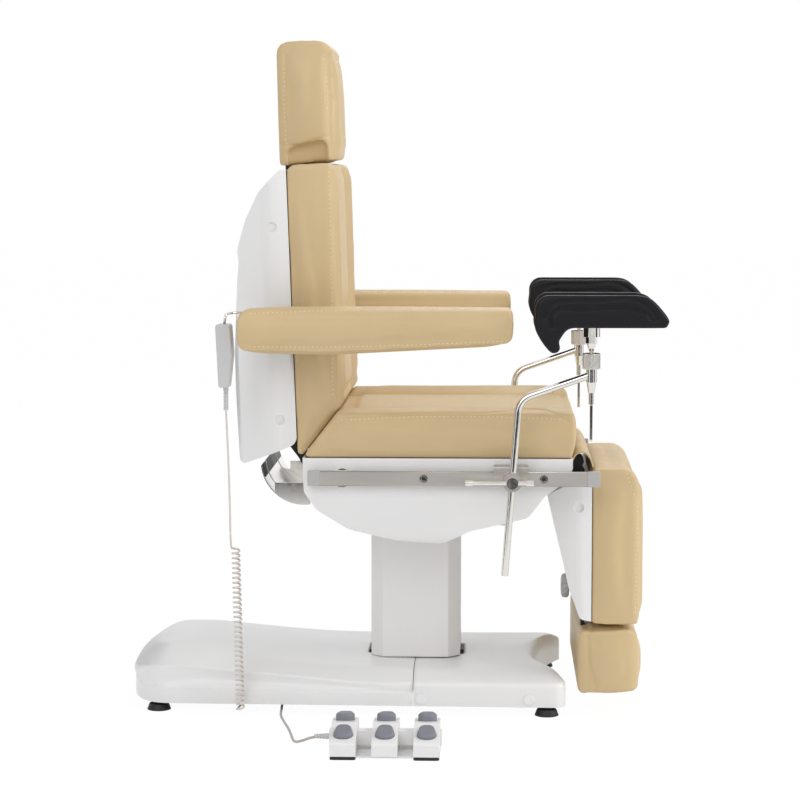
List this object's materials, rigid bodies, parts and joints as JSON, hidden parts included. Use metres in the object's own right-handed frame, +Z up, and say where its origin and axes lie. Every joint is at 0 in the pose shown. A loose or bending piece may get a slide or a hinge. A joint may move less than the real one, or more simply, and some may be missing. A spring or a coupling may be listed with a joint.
{
  "type": "gynecological chair",
  "caption": "Powered gynecological examination chair on a lifting column, with beige upholstery, armrests, knee troughs, leg rest, hand control and foot control.",
  "frame": {"origin": "on the floor, below the lifting column's axis", "axes": "+X towards the patient's feet, +Y to the patient's left, +Z up"},
  "size_m": [1.0562, 1.051, 1.3192],
  "materials": {
    "upholstery": "satin",
    "white_plastic": "gloss",
    "white_metal": "satin",
    "dark_metal": "satin",
    "chrome": "polished",
    "brushed_steel": "satin",
    "black_rubber": "matte",
    "stirrup_foam": "satin",
    "grey_plastic": "matte",
    "light_grey_plastic": "satin",
    "cord_white": "satin"
  },
  "bodies": {
    "base": {"base_frame": "dark_metal", "base_cover_rear": "white_plastic", "base_cover_front": "white_plastic", "cover_plugs": "white_plastic", "levelling_feet": "black_rubber", "inner_column": "white_metal", "lift_actuator": "dark_metal", "mains_inlet": "black_rubber", "pedal_mat": "black_rubber", "pedal_bar": "light_grey_plastic", "pedal_modules": "white_plastic", "pedal_cord": "cord_white", "handset_coil": "cord_white"},
    "seat": {"column_sleeve": "white_metal", "lift_rod": "chrome", "seat_frame": "dark_metal", "seat_pan": "white_plastic", "seat_cushion": "upholstery", "rear_hinge_cover": "chrome", "drive_motors": "dark_metal", "knee_flap": "upholstery", "side_rails": "brushed_steel", "rail_end_caps": "light_grey_plastic", "rail_fixings": "chrome", "handset_lead": "cord_white"},
    "back": {"back_frame": "dark_metal", "back_cushion": "upholstery", "back_shell": "white_plastic", "handset_hook": "chrome", "handset": "light_grey_plastic"},
    "head": {"headrest_plate": "dark_metal", "headrest_cushion": "upholstery"},
    "leg": {"leg_frame": "dark_metal", "leg_shell": "white_plastic", "leg_cushion": "upholstery"},
    "foot": {"foot_slide": "dark_metal", "foot_cushion": "upholstery"},
    "knob": {"foot_knob": "grey_plastic"},
    "button_1": {"pedal_button_1": "grey_plastic"},
    "button_2": {"pedal_button_2": "grey_plastic"},
    "button_3": {"pedal_button_3": "grey_plastic"},
    "button_4": {"pedal_button_4": "grey_plastic"},
    "button_5": {"pedal_button_5": "grey_plastic"},
    "button_6": {"pedal_button_6": "grey_plastic"},
    "left_arm_hub": {"left_arm_hub": "dark_metal"},
    "left_armrest": {"left_armrest": "upholstery"},
    "left_rail_clamp": {"left_rail_clamp": "chrome"},
    "left_clamp_screw": {"left_clamp_screw": "chrome"},
    "left_stirrup_rod": {"left_stirrup_rod": "chrome"},
    "left_ball_lever": {"left_ball_lever": "chrome"},
    "left_stirrup": {"left_stirrup_stem": "chrome", "left_stirrup_pad": "stirrup_foam"},
    "right_arm_hub": {"right_arm_hub": "dark_metal"},
    "right_armrest": {"right_armrest": "upholstery"},
    "right_rail_clamp": {"right_rail_clamp": "chrome"},
    "right_clamp_screw": {"right_clamp_screw": "chrome"},
    "right_stirrup_rod": {"right_stirrup_rod": "chrome"},
    "right_ball_lever": {"right_ball_lever": "chrome"},
    "right_stirrup": {"right_stirrup_stem": "chrome", "right_stirrup_pad": "stirrup_foam"}
  },
  "joints": [
    {"name": "lift", "type": "slide", "parent": "base", "child": "seat", "axis": [0, 0, 1], "range_m": [0, 0.24], "deforming": ["handset_coil"]},
    {"name": "back_recline", "type": "hinge", "parent": "seat", "child": "back", "pos_m": [-0.217, 0, 0.492], "axis": [0, -1, 0], "range_deg": [0, 80], "deforming": ["handset_lead"]},
    {"name": "head_height", "type": "slide", "parent": "back", "child": "head", "axis": [-0.0366, 0, 0.9993], "range_m": [0, 0.08]},
    {"name": "leg_raise", "type": "hinge", "parent": "seat", "child": "leg", "pos_m": [0.322, 0, 0.488], "axis": [0, -1, 0], "range_deg": [0, 85], "deforming": ["knee_flap"]},
    {"name": "foot_extend", "type": "slide", "parent": "leg", "child": "foot", "axis": [0, 0, -1], "range_m": [0, 0.12]},
    {"name": "foot_knob_turn", "type": "hinge", "parent": "leg", "child": "knob", "pos_m": [0.3, 0, 0.217], "axis": [1, 0, 0], "continuous": true},
    {"name": "button_1_press", "type": "slide", "parent": "base", "child": "button_1", "axis": [0, 0.3243, -0.9459], "range_m": [0, 0.004], "stiffness_N_per_m": 800, "springref_m": -0.004},
    {"name": "button_2_press", "type": "slide", "parent": "base", "child": "button_2", "axis": [0, -0.0712, -0.9975], "range_m": [0, 0.004], "stiffness_N_per_m": 800, "springref_m": -0.004},
    {"name": "button_3_press", "type": "slide", "parent": "base", "child": "button_3", "axis": [0, 0.3243, -0.9459], "range_m": [0, 0.004], "stiffness_N_per_m": 800, "springref_m": -0.004},
    {"name": "button_4_press", "type": "slide", "parent": "base", "child": "button_4", "axis": [0, -0.0712, -0.9975], "range_m": [0, 0.004], "stiffness_N_per_m": 800, "springref_m": -0.004},
    {"name": "button_5_press", "type": "slide", "parent": "base", "child": "button_5", "axis": [0, 0.3243, -0.9459], "range_m": [0, 0.004], "stiffness_N_per_m": 800, "springref_m": -0.004},
    {"name": "button_6_press", "type": "slide", "parent": "base", "child": "button_6", "axis": [0, -0.0712, -0.9975], "range_m": [0, 0.004], "stiffness_N_per_m": 800, "springref_m": -0.004},
    {"name": "left_arm_level", "type": "hinge", "parent": "back", "child": "left_arm_hub", "pos_m": [-0.19, 0.29, 0.762], "axis": [0, -1, 0], "range_deg": [-80, 0]},
    {"name": "left_arm_fold", "type": "hinge", "parent": "left_arm_hub", "child": "left_armrest", "pos_m": [-0.19, 0.31, 0.762], "axis": [0, -1, 0], "range_deg": [0, 90]},
    {"name": "left_clamp_slide", "type": "slide", "parent": "seat", "child": "left_rail_clamp", "axis": [1, 0, 0], "range_m": [0, 0.1]},
    {"name": "left_screw_turn", "type": "hinge", "parent": "left_rail_clamp", "child": "left_clamp_screw", "pos_m": [0.19192, 0.37, 0.473], "axis": [0, 1, 0], "continuous": true},
    {"name": "left_rod_swing", "type": "hinge", "parent": "left_rail_clamp", "child": "left_stirrup_rod", "pos_m": [0.19192, 0.345, 0.473], "axis": [0.0767, 0, 0.9971], "range_deg": [0, 45]},
    {"name": "left_lever_turn", "type": "hinge", "parent": "left_stirrup_rod", "child": "left_ball_lever", "pos_m": [0.341, 0.345, 0.65], "axis": [0, 0, 1], "range_deg": [-60, 60]},
    {"name": "left_stirrup_tilt", "type": "hinge", "parent": "left_stirrup_rod", "child": "left_stirrup", "pos_m": [0.341, 0.345, 0.706], "axis": [0, -1, 0], "range_deg": [-15, 15]},
    {"name": "right_arm_level", "type": "hinge", "parent": "back", "child": "right_arm_hub", "pos_m": [-0.19, -0.29, 0.762], "axis": [0, -1, 0], "range_deg": [-80, 0]},
    {"name": "right_arm_fold", "type": "hinge", "parent": "right_arm_hub", "child": "right_armrest", "pos_m": [-0.19, -0.31, 0.762], "axis": [0, -1, 0], "range_deg": [0, 90]},
    {"name": "right_clamp_slide", "type": "slide", "parent": "seat", "child": "right_rail_clamp", "axis": [1, 0, 0], "range_m": [0, 0.1]},
    {"name": "right_screw_turn", "type": "hinge", "parent": "right_rail_clamp", "child": "right_clamp_screw", "pos_m": [0.19192, -0.37, 0.473], "axis": [0, 1, 0], "continuous": true},
    {"name": "right_rod_swing", "type": "hinge", "parent": "right_rail_clamp", "child": "right_stirrup_rod", "pos_m": [0.19192, -0.345, 0.473], "axis": [-0.0767, 0, -0.9971], "range_deg": [0, 45]},
    {"name": "right_lever_turn", "type": "hinge", "parent": "right_stirrup_rod", "child": "right_ball_lever", "pos_m": [0.341, -0.345, 0.65], "axis": [0, 0, 1], "range_deg": [-60, 60]},
    {"name": "right_stirrup_tilt", "type": "hinge", "parent": "right_stirrup_rod", "child": "right_stirrup", "pos_m": [0.341, -0.345, 0.706], "axis": [0, -1, 0], "range_deg": [-15, 15]}
  ],
  "couplings": [
    {"joint": "left_arm_level", "follows": "back_recline", "ratio": -1},
    {"joint": "right_arm_level", "follows": "back_recline", "ratio": -1}
  ]
}
